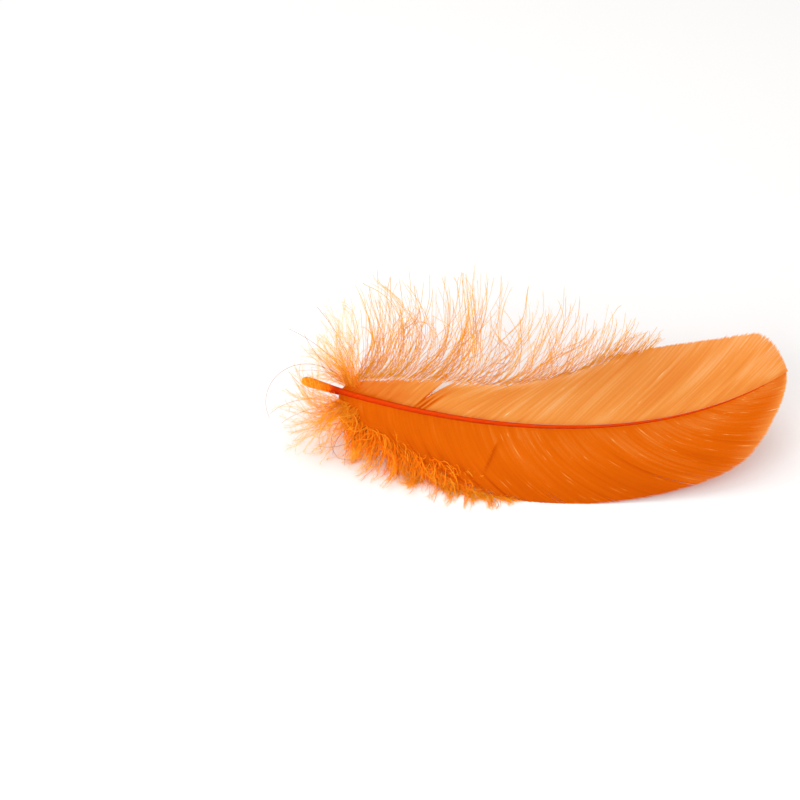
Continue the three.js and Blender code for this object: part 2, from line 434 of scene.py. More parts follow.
@dataclass(frozen=True)
class DyedQuillFinish:
    """Acid-dyed quill keratin: a hard, smooth, faintly see-through tube, satin as horn.

    Attributes:
        name: The material's name.
        deep: The dye of the rachis, seen on its sides past the painted highlight, and on the neck's scar.
        full: The dye that the painted highlight on the top of the rachis lightens towards.
        light: The dye on the quill's barrel.
        pale: The dye on the barrel's palest streaks.
        roughness: How much the keratin spreads a reflection.
        gloss: How much of keratin's reflection the dyed surface keeps.
        grain_mm: The width of the quill's fibres.
        grain: How far the fibres change the tone.
        drawn_out: The fibres' width as a share of their length.
        relief: How clearly the fibres are felt.
        relief_mm: How far they stand out.
        glow: The share of light that spreads inside the keratin.
        glow_mm: How far it spreads.
        glow_colours: How far red, green and blue spread, as shares of that.
    """

    name: str = "dyed_quill_keratin"
    deep: str = "AE2000"
    full: str = "D84404"
    light: str = "DE780E"
    pale: str = "F8B058"
    roughness: float = 0.6
    gloss: float = 0.02
    grain_mm: float = 0.45
    grain: float = 0.3
    drawn_out: float = 0.15
    relief: float = 0.25
    relief_mm: float = 0.05
    glow: float = 0.3
    glow_mm: float = 0.6
    glow_colours: tuple[float, float, float] = (1.0, 0.35, 0.1)

    def material(self) -> bpy.types.Material:
        """Makes the material, with lengthwise grain and a soft glow inside.

        Returns:
            The material.
        """
        made, tree = new_material(self.name)
        place = add_node(tree, "ShaderNodeTexCoord", {})
        # The quill's fibres run lengthwise, so the grain is drawn out along the shaft.
        drawn = add_node(
            tree, "ShaderNodeMapping",
            {"Vector": place.outputs["Object"], "Scale": (self.drawn_out, 1.0, 1.0)},
        )
        grain = add_node(
            tree, "ShaderNodeTexNoise",
            {"Vector": drawn.outputs[0], "Scale": 1 / (self.grain_mm * MM), "Detail": 3.0},
        )
        dye = ((0.0, self.deep), (0.35, self.full), (0.7, self.light), (1.0, self.pale))
        bump = add_node(
            tree, "ShaderNodeBump",
            {"Height": grain.outputs["Fac"], "Strength": self.relief, "Distance": self.relief_mm * MM},
        )
        surface = add_node(
            tree, "ShaderNodeBsdfPrincipled",
            {
                "Base Color": dye_colour(tree, grain.outputs["Fac"], self.grain, dye),
                "Roughness": self.roughness,
                "IOR": KERATIN_IOR,
                "Specular IOR Level": self.gloss,
                "Subsurface Weight": self.glow,
                "Subsurface Radius": self.glow_colours,
                "Subsurface Scale": self.glow_mm * MM,
                "Normal": bump.outputs[0],
            },
        )
        add_node(tree, "ShaderNodeOutputMaterial", {"Surface": surface.outputs[0]})
        return made


@dataclass(frozen=True)
class StudioPaperFinish:
    """Matt white background paper, rolled: hardly any gloss, and bright all over.

    Attributes:
        name: The material's name.
        white: The paper's colour.
        roughness: How much the paper spreads a reflection.
        gloss: How much of a smooth sheet's reflection it keeps.
    """

    name: str = "studio_paper"
    white: str = "F7F5F4"
    roughness: float = 0.9
    gloss: float = 0.1

    def material(self) -> bpy.types.Material:
        """Makes the material.

        Returns:
            The material.
        """
        made, tree = new_material(self.name)
        surface = add_node(
            tree, "ShaderNodeBsdfPrincipled",
            {
                "Base Color": linear(self.white),
                "Roughness": self.roughness,
                "Specular IOR Level": self.gloss,
            },
        )
        add_node(tree, "ShaderNodeOutputMaterial", {"Surface": surface.outputs[0]})
        return made


def add_piece(name: str, mesh: bpy.types.Mesh, finish: bpy.types.Material) -> bpy.types.Object:
    """Adds a dressed mesh to the scene, riding on the feather's body.

    Args:
        name: The piece's name.
        mesh: Its mesh, in the row's frame.
        finish: Its material.

    Returns:
        The new object.
    """
    piece = bpy.data.objects.new(name, mesh)
    bpy.context.scene.collection.objects.link(piece)
    mesh.materials.append(finish)
    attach(piece, BODY)
    LOG.info("%s: %d faces", name, len(mesh.polygons))
    return piece


@dataclass
class Shaft:
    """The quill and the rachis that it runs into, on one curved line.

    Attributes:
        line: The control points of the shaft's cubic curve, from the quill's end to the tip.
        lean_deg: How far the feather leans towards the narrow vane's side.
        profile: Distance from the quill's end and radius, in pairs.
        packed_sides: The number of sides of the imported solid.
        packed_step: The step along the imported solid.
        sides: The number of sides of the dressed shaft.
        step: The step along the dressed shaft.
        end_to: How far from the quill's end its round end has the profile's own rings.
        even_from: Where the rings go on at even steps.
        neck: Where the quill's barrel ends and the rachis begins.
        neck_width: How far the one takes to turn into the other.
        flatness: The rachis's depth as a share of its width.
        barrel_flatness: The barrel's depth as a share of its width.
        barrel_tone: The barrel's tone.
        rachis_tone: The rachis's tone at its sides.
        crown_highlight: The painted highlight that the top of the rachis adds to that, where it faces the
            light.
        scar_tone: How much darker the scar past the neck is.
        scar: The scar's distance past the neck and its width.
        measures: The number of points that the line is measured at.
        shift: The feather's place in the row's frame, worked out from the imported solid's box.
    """

    line: tuple[tuple[float, float, float], ...] = (
        (-71, 23, 12.5), (-29.5, -3.5, 15), (28, -10, 7), (71.5, 13, 22),
    )
    lean_deg: float = 20
    profile: tuple[tuple[float, float], ...] = (
        (0, 0), (0.3, 0.85), (1.1, 1.35), (3, 1.55), (8, 1.35), (13, 1.2),
        (40, 0.95), (75, 0.65), (110, 0.4), (135, 0.22),
    )
    packed_sides: int = 8
    packed_step: float = 5
    sides: int = 28
    step: float = 0.8
    end_to: float = 1.2
    even_from: float = 1.6
    neck: float = 10.5
    neck_width: float = 0.8
    flatness: float = 0.62
    barrel_flatness: float = 0.96
    barrel_tone: float = 0.72
    rachis_tone: float = 0.02
    crown_highlight: float = 0.24
    scar_tone: float = 0.14
    scar: tuple[float, float] = (1.5, 1.6)
    measures: int = 2001
    shift: Array = field(init=False)

    def __post_init__(self) -> None:
        """Measures the shaft's line and finds its place in the row's frame."""
        self._u = np.linspace(0, 1, self.measures)
        places = self._bezier(self._u)
        steps = np.linalg.norm(np.diff(places, axis=0), axis=1)
        self._run = np.concatenate([[0], np.cumsum(steps)])
        self.length = float(self._run[-1])
        drawn = self.surface(self.packed_distances(), self.packed_sides)
        middle = (drawn.min((0, 1)) + drawn.max((0, 1))) / 2
        low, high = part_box("shaft")
        packed_middle = (np.array(low) + np.array(high)) / 2 / MM
        self.shift = np.array([*(packed_middle - middle)[:2], 0.0])

    def _bezier(self, u: Array) -> Array:
        """Gives points of the shaft's curve.

        Args:
            u: How far along the curve, from 0 to 1.

        Returns:
            The points.
        """
        a, b, c, d = np.array(self.line, float)
        u = u[..., None]
        return (1 - u) ** 3 * a + 3 * (1 - u) ** 2 * u * b + 3 * (1 - u) * u**2 * c + u**3 * d

    def frame(self, at: Array) -> tuple[Array, Array, Array, Array]:
        """Gives the shaft's place and directions at distances from the quill's end.

        Args:
            at: The distances. Past the tip the shaft's line runs straight on.

        Returns:
            The places, and the directions forward, out to the broad vane and up.
        """
        a, b, c, d = np.array(self.line, float)
        inside = np.clip(at, 0, self.length)
        u = np.interp(inside, self._run, self._u)
        v = u[..., None]
        forward = unit((1 - v) ** 2 * (b - a) + 2 * (1 - v) * v * (c - b) + v**2 * (d - c))
        place = self._bezier(u) + (at - inside)[..., None] * forward
        level = unit(np.stack([-forward[..., 1], forward[..., 0], 0 * at], -1))
        raised = np.cross(forward, level)
        lean = math.radians(self.lean_deg)
        out = math.cos(lean) * level + math.sin(lean) * raised
        return place, forward, out, np.cross(forward, out)

    def radius(self, at: Array) -> Array:
        """Gives the shaft's radius at distances from the quill's end."""
        knots = np.array([*self.profile, (self.length, 0)])
        return np.interp(at, knots[:, 0], knots[:, 1])

    def packed_distances(self) -> Array:
        """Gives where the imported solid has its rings.

        Returns:
            The rings' distances from the quill's end.
        """
        count = round(self.length / self.packed_step)
        even = np.arange(1, count + 1) / count * self.length
        start = [at for at, _ in self.profile if at < self.packed_step]
        return np.array([*start, *even])

    def surface(self, at: Array, sides: int) -> Array:
        """Gives rings of points round the shaft.

        Args:
            at: The rings' distances from the quill's end.
            sides: The number of points in a ring.

        Returns:
            Ring, point and x, y, z.
        """
        place, _, out, up = self.frame(at)
        angle = 2 * np.pi * np.arange(sides) / sides
        ring = np.sin(angle)[:, None] * up[:, None] + np.cos(angle)[:, None] * out[:, None]
        return place[:, None] + self.radius(at)[:, None, None] * ring

    def build(self, finish: DyedQuillFinish) -> None:
        """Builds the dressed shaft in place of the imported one.

        Args:
            finish: The quill's finish.
        """
        start = [at for at, _ in self.profile if at < self.end_to]
        at = np.array([*start, *np.arange(self.even_from, self.length, self.step), self.length])
        place, _, out, _ = self.frame(at)
        radius = self.radius(at)
        barrel = 1 / (1 + np.exp((at - self.neck) / self.neck_width))[:, None]
        # The top of the rachis is lightened by a painted highlight, where it faces the light.
        crown = np.clip(np.sin(2 * np.pi * np.arange(self.sides) / self.sides), 0, 1)[None] ** 3
        past, width = self.scar
        scar = self.scar_tone * np.exp(-(((at - self.neck - past) / width) ** 2))[:, None]
        rachis = self.rachis_tone + self.crown_highlight * crown
        tone = barrel * self.barrel_tone + (1 - barrel) * rachis - scar
        depth = radius * (self.flatness + (self.barrel_flatness - self.flatness) * barrel[:, 0])
        fibre = Fibres(
            points=place[None], half_width=radius[None], half_depth=depth[None], tone=tone[None],
            row=np.array([0.5]), row_height=0.9, corners=self.sides, across=out[None],
        )
        mesh = fibre.mesh("shaft_skin", self.shift)
        piece = add_piece("quill_and_rachis", mesh, finish.material())
        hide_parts("shaft")


@dataclass(frozen=True)
class Split:
    """A place where a vane's barbs have come unhooked and part.

    Attributes:
        at: Where along the shaft the parted barbs leave it.
        closed: The share of the barbs where the split begins.
        opening: How far apart the barbs are at the edge.
        spread: How far along the shaft the barbs are pushed aside.
        shade: How much painted shade darkens the barbs where the split begins, in the gap between them.
        shade_width: How far along the shaft the shade reaches.
        shade_length: The share of the barbs that the shade covers.
    """

    at: float
    closed: float
    opening: float
    spread: float = 5.0
    shade: float = 0.0
    shade_width: float = 0.45
    shade_length: float = 0.25

    def parting(self, root: Array, out: Array) -> Array:
        """Gives how far the split pushes barbs along the shaft.

        Args:
            root: Where each barb leaves the shaft.
            out: How far along the barb, from 0 to 1.

        Returns:
            The distances.
        """
        away = root - self.at
        opened = np.clip((out - self.closed) / (1 - self.closed), 0, None) ** 1.2
        return np.sign(away) * self.opening / 2 * opened * np.exp(-np.abs(away) / self.spread)

    def painted_shade(self, root: Array, out: Array) -> Array:
        """Gives the painted shade on barbs next to where the split begins.

        Args:
            root: Where each barb leaves the shaft.
            out: How far along the barb, from 0 to 1.

        Returns:
            What to take from the tones.
        """
        beside = (root - self.at) / self.shade_width
        along = (out - self.closed) / self.shade_length
        return self.shade * np.exp(-(beside**2) - along**2)


@dataclass(frozen=True)
class Crease:
    """A line across a vane where the web was once bent.

    Attributes:
        start: The line's first distance along the shaft and reach.
        end: The line's last distance along the shaft and reach.
        height: How far the web steps up past the line.
        width: How far along the shaft the step takes to settle.
    """

    start: tuple[float, float]
    end: tuple[float, float]
    height: float
    width: float

    def step(self, at: Array, reach: Array) -> Array:
        """Gives how much of the step the web has at each point.

        Args:
            at: Distances along the shaft.
            reach: Distances out from the shaft.

        Returns:
            Shares from 0 to 1.
        """
        along = (reach - self.start[1]) / (self.end[1] - self.start[1])
        past = at - self.start[0] - along * (self.end[0] - self.start[0])
        window = np.clip(1 - np.abs(2 * along - 1) ** 4, 0, 1)
        return window * np.where(past > 0, np.exp(-past / self.width), 0)


@dataclass
class Vane:
    """One vane: a web of barbs that leave the shaft and hook together.

    Attributes:
        side: The side of the shaft.
        shaft: The shaft that it grows on.
        barbs: A few barbs that draw the vane: where each leaves the shaft, where it ends along the
            shaft, and its reach out from the shaft.
        droop: The web's fall for each square millimetre of reach.
        bend_out: The share of its reach where a barb bends.
        bend_on: The share of its run along the shaft where a barb bends.
        splits: Where the web has parted.
        creases: Where the web was once bent.
        root_on: Where on the shaft's shoulder the barbs sit, as a share of its radius.
        loose_to: The share of the barbs, from the quill, whose ends aren't hooked together.
        loose_from: How far along those barbs the loose ends begin.
        loosening: How much narrower the loose ends are.
        tone: The web's tone, at even steps from the quill to the tip. Both webs are one dye, so the broad
            web's higher tone is painted light and the narrow web's lower tone painted shade.
        edge_tone: What the web's edge adds to that; the narrow web's darker edge is painted shade.
        rim_light: What painted light on the thin rim near the tip, lit through from behind, adds to that.
        streak: How far the barbs' tones differ.
        small_splits: The number of small splits at the edge.
        glints: The number of barbs with a painted glint, a bright spot where the barb catches the light.
        pitch: The step between barbs along the shaft.
        overlap: How much wider a barb is than its share of the web.
        depth: Half a barb's depth.
        steps: The number of points along a barb.
        seed: The seed of the barbs' differences.
        ragged: How far the barbs' lengths differ, as a share.
        torn: What loose ends add to that.
        loose_fade: The share of the barbs over which the loose ends give way to hooked ones.
        loose_tone: What the loose ends add to the tone.
        shaft_shade: How much painted shade darkens the web beside the shaft, and how far out that reaches.
        crease_shade: How much painted shade darkens the web past a crease.
        glint_out: The least and the most of a barb where a painted glint lies.
        glint_half: The least and the most of a barb that half a glint covers.
        glint_tone: The least and the most that a glint adds to the tone.
        rim_power: How sharply the rim's painted light sets in towards the edge.
        rim_from: The share of the barbs where the rim begins, and over which it does.
        streak_sizes: How many barbs, and points along them, the streaks take to change.
        barb_streak: How far single barbs differ, as a share of the streaks.
        split_from: How far past the first barb the small splits begin.
        split_spans: The least and the most of the small splits' closed share, opening and spread.
        bunching: How much closer a barb's points are towards the shaft.
        spacings: The least and the greatest distance between barbs that their width follows.
        ripple: How far the web ripples towards its edge.
        ripple_size: How many barbs, and points along them, a ripple takes to change.
        uneven: How far barbs lie over or under the others.
        root_lift: How far over the shaft's shoulder the barbs start.
        shoulder_fade: How far out the web takes to come down from the shaft's shoulder.
        tip: The share of a barb that tapers, and what a loose end adds to that.
        roll_deg: How far barbs are tipped over the next ones, and how far that differs.
        floor: The least height of a barb's middle over the table.
    """

    side: Side
    shaft: Shaft
    barbs: tuple[tuple[float, float, float], ...]
    droop: float
    bend_out: float
    bend_on: float
    splits: tuple[Split, ...]
    creases: tuple[Crease, ...]
    root_on: float
    loose_to: float
    loose_from: float
    loosening: float
    tone: tuple[float, ...]
    edge_tone: float
    rim_light: float
    streak: float
    small_splits: int
    glints: int
    seed: int
    ragged: float
    pitch: float = 0.3
    overlap: float = 1.5
    depth: float = 0.025
    steps: int = 36
    torn: float = 0.05
    loose_fade: float = 0.1
    loose_tone: float = 0.1
    shaft_shade: tuple[float, float] = (0.12, 0.7)
    crease_shade: float = 0.25
    glint_out: tuple[float, float] = (0.08, 0.97)
    glint_half: tuple[float, float] = (0.015, 0.06)
    glint_tone: tuple[float, float] = (0.06, 0.34)
    rim_power: int = 12
    rim_from: tuple[float, float] = (0.5, 0.2)
    streak_sizes: tuple[tuple[int, int], ...] = ((2, 30), (15, 22))
    barb_streak: float = 0.35
    split_from: float = 9
    split_spans: tuple[tuple[float, float], ...] = ((0.5, 0.9), (0.1, 0.4), (0.4, 1.2))
    bunching: float = 1.15
    spacings: tuple[float, float] = (0.1, 0.6)
    ripple: float = 0.02
    ripple_size: tuple[int, int] = (4, 12)
    uneven: float = 0.004
    root_lift: float = 0.04
    shoulder_fade: float = 0.9
    tip: tuple[float, float] = (0.03, 0.07)
    roll_deg: tuple[float, float] = (4, 1)
    floor: float = 0.07

    def point(self, at: Array, reach: Array, lift: Array | float = 0.0) -> Array:
        """Gives points of the vane.

        Args:
            at: Distances along the shaft.
            reach: Distances out from the shaft.
            lift: Heights over the web.

        Returns:
            The points.
        """
        place, _, out, up = self.shaft.frame(at)
        rise = lift - self.droop * reach * reach
        return place + self.side.value * reach[..., None] * out + rise[..., None] * up

    def course(self, share: Array, out: Array, gap: Array | float) -> tuple[Array, Array]:
        """Gives the distance along the shaft and the reach of points of the web's barbs.

        Args:
            share: Which barb, as a share of the barbs that draw the vane.
            out: How far along that barb, from 0 to 1 or a little past.
            gap: How far from the shaft's side a barb starts.

        Returns:
            The distances along the shaft and the reaches.
        """
        drawn = smooth_rows(np.array(self.barbs), share, False)
        root, tip, reach = drawn[..., 0], drawn[..., 1], drawn[..., 2]
        base = self.shaft.radius(root) + gap
        bend_at = root + self.bend_on * (tip - root)
        bend_reach = base + self.bend_out * (reach - base)
        a, b, c = (1 - out) ** 2, 2 * (1 - out) * out, out**2
        return a * root + b * bend_at + c * tip, a * base + b * bend_reach + c * reach

    def share_of(self, root: Array) -> Array:
        """Gives the share of the vane's barbs of the one that leaves the shaft at each root."""
        shares = np.linspace(0, 1, 600)
        return np.interp(root, smooth_rows(np.array(self.barbs), shares, False)[:, 0], shares)

    def _all_splits(self, first: float, last: float) -> tuple[Split, ...]:
        """Gives the vane's splits and the small ones at its edge.

        Args:
            first: Where the first barb leaves the shaft.
            last: Where the last one does.

        Returns:
            The splits.
        """
        rng = np.random.default_rng(self.seed + 3)
        small = []
        for _ in range(self.small_splits):
            at = rng.uniform(first + self.split_from, last)
            small.append(Split(at, *(rng.uniform(*span) for span in self.split_spans)))
        return (*self.splits, *small)

    def _tones(self, root: Array, share: Array, out: Array, at: Array, reach: Array) -> Array:
        """Gives the tone of every point of the barbs.

        Args:
            root: Where each barb leaves the shaft.
            share: Its share of the barbs that draw the vane.
            out: How far along its barb each point is.
            at: Each point's distance along the shaft.
            reach: Each point's reach.

        Returns:
            The tones.
        """
        rng = np.random.default_rng(self.seed + 4)
        # The webs' tone paints light and shade: the broad web lighter, the narrow web darker and darker
        # still towards its edge.
        tone = smooth_rows(np.array(self.tone), share[:, 0], True) + self.edge_tone * out**2
        # Painted light on the thin rim near the tip, where light shines through it.
        rim_start, rim_over = self.rim_from
        tone = tone + self.rim_light * out**self.rim_power * np.clip((share - rim_start) / rim_over, 0, 1)
        for index, size in enumerate(self.streak_sizes, 1):
            tone = tone + self.streak * cloud(self.seed + index, out.shape, size)
        tone = tone + rng.normal(0, self.barb_streak * self.streak, (len(out), 1))
        # Painted shade beside the shaft.
        shade, shade_reach = self.shaft_shade
        beside = reach - self.shaft.radius(at)
        tone = tone - shade * np.exp(-np.clip(beside, 0, None) / shade_reach)
        # Painted glints: short bright spots where single barbs catch the light.
        barb = rng.integers(len(out) // 4, len(out), self.glints)
        spans = (self.glint_out, self.glint_half, self.glint_tone)
        middle, half, bright = (rng.uniform(*span, self.glints)[:, None] for span in spans)
        np.add.at(tone, barb, bright * np.exp(-(((out[barb] - middle) / half) ** 2)))
        # Painted shade where the web steps up past a crease.
        for crease in self.creases:
            tone = tone - self.crease_shade * crease.step(at, reach) ** 2
        # Painted shade in the gaps where splits begin.
        for split in self.splits:
            tone = tone - split.painted_shade(root, out)
        return tone

    def web(self) -> Fibres:
        """Lays out every barb of the web, hooked edge over edge.

        Returns:
            The barbs.
        """
        rng = np.random.default_rng(self.seed)
        first, last = self.barbs[0][0], self.barbs[-1][0]
        count = int((last - first) / self.pitch)
        root = np.linspace(first, last, count)[:, None]
        share = self.share_of(root)
        t = np.linspace(0, 1, self.steps)[None]
        unhooked = np.clip((self.loose_to - share) / self.loose_fade, 0, 1)
        differs = self.ragged + self.torn * unhooked
        out = t**self.bunching * (1 + rng.normal(0, 1, (count, 1)) * differs)
        base = self.shaft.radius(root)
        at, reach = self.course(np.broadcast_to(share, out.shape), out, (self.root_on - 1) * base)
        calm = self.point(at, reach)
        forward = unit(np.gradient(calm, axis=1))
        _, _, _, up = self.shaft.frame(at)
        across = unit(np.cross(up, forward))
        spacing = np.clip(np.abs((np.gradient(calm, axis=0) * across).sum(-1)), *self.spacings)
        tone = self._tones(root, share, out, at, reach)

        for split in self._all_splits(first, last):
            at = at + split.parting(root, out)
        lift = self.ripple * cloud(self.seed + 7, out.shape, self.ripple_size) * out
        lift = lift + rng.normal(0, self.uneven, (count, 1))
        shoulder = self.shaft.flatness * math.sqrt(1 - self.root_on**2) * base + self.root_lift
        lift = lift + shoulder * np.exp(-np.clip(reach - self.root_on * base, 0, None) / self.shoulder_fade)
        for crease in self.creases:
            lift = lift + crease.height * crease.step(at, reach)
        points = keep_above(self.point(at, reach, lift), self.floor)

        loose = unhooked * np.clip((out - self.loose_from) / (1 - self.loose_from), 0, 1)
        tip, loose_tip = self.tip
        taper = np.clip((1 - t) / (tip + loose_tip * loose), 0.1, 1) ** 0.7 * (1 - self.loosening * loose)
        tipped, spread = self.roll_deg
        roll = np.radians(tipped + rng.normal(0, spread, (count, 1, 1))) * self.side.value
        tilted = across * np.cos(roll) + unit(np.cross(across, forward)) * np.sin(roll)
        return Fibres(
            points=points, half_width=self.overlap * spacing / 2 * taper, half_depth=self.depth * taper,
            tone=tone + self.loose_tone * loose, row=(np.arange(count) + 0.5) / count,
            row_height=0.8 / count, corners=4, across=tilted, crisp=True,
        )

    def build(self, name: str, node: str, finish: bpy.types.Material) -> None:
        """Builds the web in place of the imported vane.

        Args:
            name: The web's name.
            node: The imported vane's node.
            finish: The barbs' material.
        """
        piece = add_piece(name, self.web().mesh(name, self.shaft.shift), finish)
        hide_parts(node)


@dataclass(frozen=True)
class LockFamily:
    """A family of downy locks that grow from one stretch of a vane.

    Attributes:
        name: The piece's name.
        along: The first and the last strand's share of the vane's barbs.
        out: The share of the barb where the strands leave the web.
        lift: How far off the web's middle they start.
        length: The strands' length, from the first strand to the last.
        heading: The way they end up pointing, in degrees seen from above.
        climb: The slope that they end at, in degrees.
        leave: The heading and climb that they start with, or None for the barb's own.
        growth: What the strands are.
        wisps: The number of wisps that the strands draw together in.
        strands: The number of strands.
        barbules: The number of side hairs on a millimetre of strand.
        barbule: The side hairs' length and radius.
        stand: How far the side hairs stand out from their strand, in degrees.
        radius: The strands' radius where they leave the web and at their ends.
        flatness: The strands' depth as a share of their width.
        inset: The least and the most of a barb that a strand starts inside the web.
        rise: How far strands stand up off the web at first, in degrees.
        fan: How far wisps, and strands, differ from the family's way, in degrees.
        spray: How far the ways that strands start differ, in degrees.
        wave: How far wisps and strands bend from side to side, in degrees.
        curl: How far strands' ends curl, in degrees.
        gather: How closely the strands of a wisp draw together.
        wild: The share of strands that go their own way across the others.
        straight_from: The share of the family past which strands are straight and single.
        tone: The strands' tone at their roots and their ends.
    """

    name: str
    along: tuple[float, float]
    out: float
    lift: float
    length: tuple[float, ...]
    heading: tuple[float, ...]
    climb: tuple[float, ...]
    leave: tuple[float, float] | None
    growth: Growth
    wisps: int
    strands: int
    barbules: float
    barbule: tuple[float, float]
    stand: float
    radius: tuple[float, float]
    inset: tuple[float, float]
    fan: tuple[float, float]
    spray: float
    wave: float
    curl: float
    gather: float
    wild: float
    tone: tuple[float, float]
    rise: float = 0.0
    flatness: float = 1.0
    straight_from: float = 1.2


@dataclass
class Down:
    """The loose down of one family of locks, strand by strand.

    Attributes:
        vane: The vane that the locks grow from.
        family: The family of locks.
        seed: The seed of the strands' differences.
        gap: How far from the shaft's side a barb starts.
        steps: The number of steps along a strand.
        floor: The least height of a strand over the table, and how far that differs.
        hair_floor: The least height of a side hair over the table.
        wisp_places: The least and the greatest place of a wisp in its own share of the family.
        wisp_lengths: The least and the greatest length of a wisp, as shares of its family's length.
        strand_lengths: The same for a strand.
        stray_wisps: The share of wisps that go astray, and how much further they do.
        stray_strands: How much further strands that go their own way do.
        straight_over: The share of the family over which strands straighten, and their hairs thin out.
        least_loose: How loose the straightest strands still are, as a share.
        least_spread: How far the straightest strands still spread, as a share.
        bends: The least and the greatest number of waves on a strand, and their size, the slow ones first.
        borders: How far strands at a border change over to the next wisp, in wisps.
        held: The two powers of the random draw for how closely strands keep to their wisps.
        wild_held: How closely strands that go their own way do.
        apart_to: The share of a strand that stays apart from its wisp.
        drawn_over: The share of a strand over which it then draws to its wisp.
        crowding: How much closer strands grow towards the quill.
        sizes: The least and the greatest radius of a strand, as shares of its family's radius.
        thinning: How soon a strand thins, as a power of the way along it.
        tilt: How far the flat sides of strands tilt from the web.
        hair_span: Where the side hairs of a strand start, and over what share of it they stand.
        hair_lengths: The least and the greatest length of a side hair, as shares of its family's.
        hair_stands: The same for how far it stands off.
        hair_bend: How soon a side hair goes forward, and aside, as powers of the way along it.
        hair_taper: How much thinner a side hair is at its end, as a share.
        row_height: The height of a strand's row on the map.
        tone_differs: How far the tones of strands, and of side hairs, differ.
    """

    vane: Vane
    family: LockFamily
    seed: int
    gap: float = 0.3
    steps: int = 18
    floor: tuple[float, float] = (0.12, 0.5)
    hair_floor: float = 0.06
    wisp_places: tuple[float, float] = (-0.2, 1.2)
    wisp_lengths: tuple[float, float] = (0.8, 1.06)
    strand_lengths: tuple[float, float] = (0.45, 1.06)
    stray_wisps: tuple[float, float] = (0.15, 2.0)
    stray_strands: float = 3
    straight_over: tuple[float, float] = (0.15, 0.3)
    least_loose: float = 0.05
    least_spread: float = 0.4
    bends: tuple[tuple[float, float, float], ...] = ((0.4, 1.0, 1.0), (1.2, 2.4, 0.5))
    borders: float = 0.6
    held: tuple[float, float] = (2.0, 0.8)
    wild_held: float = 0.1
    apart_to: float = 0.1
    drawn_over: float = 0.65
    crowding: float = 1.3
    sizes: tuple[float, float] = (0.6, 1.15)
    thinning: float = 0.7
    tilt: float = 0.2
    hair_span: tuple[float, float] = (0.03, 0.92)
    hair_lengths: tuple[float, float] = (0.4, 1.2)
    hair_stands: tuple[float, float] = (0.4, 1.5)
    hair_bend: tuple[float, float] = (1.2, 0.7)
    hair_taper: float = 0.5
    row_height: float = 0.012
    tone_differs: tuple[float, float] = (0.15, 0.08)

    def _grow(self, start: Array, leave: Array, end: Array, length: Array, wave: Array) -> Array:
        """Grows strands that turn steadily from one way to another.

        Args:
            start: Where each strand starts.
            leave: The heading and climb that each starts with.
            end: The heading and climb that each ends with.
            length: The strands' lengths.
            wave: What to add to the heading and climb at each step.

        Returns:
            Strand, point and x, y, z.
        """
        turned = ((np.arange(self.steps) + 0.5) / self.steps)[None, :, None]
        angles = leave[:, None] + (end - leave)[:, None] * turned + wave
        move = way(angles[..., 0], angles[..., 1]) * (length / self.steps)[:, None, None]
        points = np.concatenate([start[:, None], start[:, None] + np.cumsum(move, 1)], 1)
        least, differs = self.floor
        floor = least + differs * np.random.default_rng(self.seed + 5).random((len(points), 1))
        return keep_above(points, floor)

    def _share(self, place: Array) -> Array:
        """Gives the share of the vane's barbs at each place in the family, from 0 to 1."""
        first, last = self.family.along
        return first + (last - first) * place

    def _loose(self, own: Array, over: float) -> Array:
        """Gives how loose strands are at their places, where that changes over a share of the family."""
        return np.clip((self.family.straight_from - own) / over, self.least_loose, 1)

    def _starts(self, place: Array, inset: Array) -> tuple[Array, Array]:
        """Gives where strands leave the web, and the heading and climb that they leave with.

        Args:
            place: Where each strand is in its family, from 0 to 1.
            inset: The share of the barb that each starts inside the web.

        Returns:
            The places, and the headings and climbs in degrees.
        """
        family, share = self.family, self._share(place)
        start = self.vane.point(*self.vane.course(share, family.out - inset, self.gap), family.lift)
        ahead = self.vane.point(*self.vane.course(share, family.out - 0.5 * inset, self.gap), family.lift)
        on_web = unit(ahead - start)
        leave = np.stack([np.arctan2(on_web[:, 1], on_web[:, 0]), np.arcsin(on_web[:, 2])], -1)
        if family.leave is not None:
            return start, np.broadcast_to(np.array(family.leave, float), leave.shape)
        return start, np.degrees(leave)

    def _ends(self, place: Array) -> tuple[Array, Array]:
        """Gives the way that strands end up pointing, and their lengths.

        Args:
            place: Where each strand is in its family, from 0 to 1.

        Returns:
            The headings and climbs in degrees, and the lengths.
        """
        family = self.family
        laws = (np.array(law, float) for law in (family.heading, family.climb, family.length))
        heading, climb, length = (smooth_rows(law, place, True)[:, 0] for law in laws)
        return np.stack([heading, climb], -1), length

    def _waves(self, rng: np.random.Generator, size: Array, curl: float) -> Array:
        """Gives the slow bends of strands, and the tighter curl of their ends.

        Args:
            rng: The source of random numbers.
            size: How far each strand bends, in degrees.
            curl: How far the ends curl, in degrees.

        Returns:
            Strand, step and what to add to the heading and climb.
        """
        t = np.linspace(0, 1, self.steps)[None, :, None]
        bends = np.zeros((len(size), self.steps, 2))
        for least, most, part in self.bends:
            rate = rng.uniform(least, most, (len(size), 1, 2))
            phase = rng.uniform(0, 2 * np.pi, (len(size), 1, 2))
            amount = part * size[:, None, None] * rng.normal(size=(len(size), 1, 2))
            bends = bends + amount * (np.sin(2 * np.pi * rate * t + phase) - np.sin(phase))
        return bends + curl * rng.normal(size=(len(size), 1, 2)) * t**3

    def _strands(self, own: Array) -> Array:
        """Grows the strands, drawn together in wisps.

        Args:
            own: Where each strand is in its family, from 0 to 1.

        Returns:
            Strand, point and x, y, z.
        """
        family = self.family
        rng = np.random.default_rng(self.seed)
        loose = self._loose(own, self.straight_over[0])

